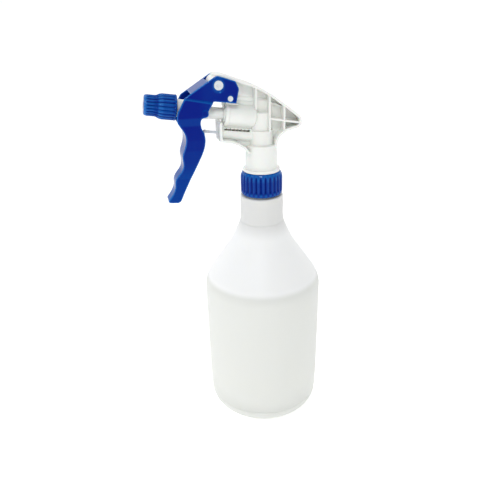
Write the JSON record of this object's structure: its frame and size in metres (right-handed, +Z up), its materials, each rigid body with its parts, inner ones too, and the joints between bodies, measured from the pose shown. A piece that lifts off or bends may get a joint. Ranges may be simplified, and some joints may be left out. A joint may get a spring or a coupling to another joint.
{
  "type": "trigger spray bottle",
  "caption": "Translucent round bottle with a sloping shoulder, ribbed screw closure and an open-sided trigger pump head that draws liquid up a dip tube and sprays it from a turning nozzle.",
  "frame": {"origin": "centre of the bottle's base, on the plane it stands on", "axes": "+Z up along the bottle's axis; -X the way the nozzle points; +Y completes the right-handed frame"},
  "size_m": [0.1316, 0.0944, 0.283],
  "materials": {
    "bottle": "translucent natural polyethylene, satin",
    "blue": "deep royal blue, glossy",
    "white": "white polypropylene, semi-gloss",
    "pin": "off-white acetal, semi-gloss",
    "tube": "translucent polyethylene tube",
    "seal": "soft pale elastomer",
    "steel": "stainless spring wire",
    "ball": "polished steel ball"
  },
  "bodies": {
    "bottle": {"bottle": "bottle"},
    "head": {"pump_body": "white", "neck_gasket": "seal", "inlet_insert": "white", "dip_tube": "tube", "tube_filter": "white", "cylinder_liner": "white", "rod_guide": "white", "return_spring": "steel", "spring_seat": "white", "passage_plug": "pin", "nozzle_seal": "seal", "outlet_spring": "steel", "outlet_cap": "white"},
    "closure": {"closure": "blue"},
    "trigger": {"trigger": "blue", "trigger_pivot_pin": "pin", "trigger_stop_pins": "pin"},
    "piston": {"piston": "white", "piston_seal": "seal"},
    "spring_rod": {"spring_rod": "pin"},
    "nozzle": {"nozzle": "blue", "swirl_insert": "white"},
    "inlet_ball": {"inlet_ball": "ball"},
    "outlet_ball": {"outlet_ball": "ball"}
  },
  "joints": [
    {"name": "head_lift", "type": "slide", "parent": "bottle", "child": "head", "axis": [0, 0, 1], "range_m": [0, 0.215]},
    {"name": "closure_turn", "type": "hinge", "parent": "head", "child": "closure", "pos_m": [0, 0, 0.202], "axis": [0, 0, 1], "continuous": true},
    {"name": "trigger_pull", "type": "hinge", "parent": "head", "child": "trigger", "pos_m": [-0.0325, 0, 0.2763], "axis": [0, -1, 0], "range_deg": [0, 13.5], "stiffness_Nm_per_rad": 1.2, "springref_deg": -6.88},
    {"name": "piston_stroke", "type": "slide", "parent": "head", "child": "piston", "axis": [0.9903, 0, -0.1392], "range_m": [0, 0.005]},
    {"name": "spring_stroke", "type": "slide", "parent": "head", "child": "spring_rod", "axis": [0.9903, 0, -0.1392], "range_m": [0, 0.0083], "deforming": ["return_spring"]},
    {"name": "nozzle_turn", "type": "hinge", "parent": "head", "child": "nozzle", "pos_m": [-0.05, 0, 0.25967], "axis": [-0.9885, 0, 0.1513], "continuous": true},
    {"name": "inlet_valve", "type": "slide", "parent": "head", "child": "inlet_ball", "axis": [0, 0, 1], "range_m": [0, 0.0015]},
    {"name": "outlet_valve", "type": "slide", "parent": "head", "child": "outlet_ball", "axis": [-0.9885, 0, 0.1513], "range_m": [0, 0.0012], "stiffness_N_per_m": 20, "springref_m": -0.0005, "deforming": ["outlet_spring"]}
  ],
  "couplings": [
    {"joint": "piston_stroke", "follows": "trigger_pull", "m_per_rad": 0.0207},
    {"joint": "spring_stroke", "follows": "trigger_pull", "m_per_rad": 0.0343}
  ]
}
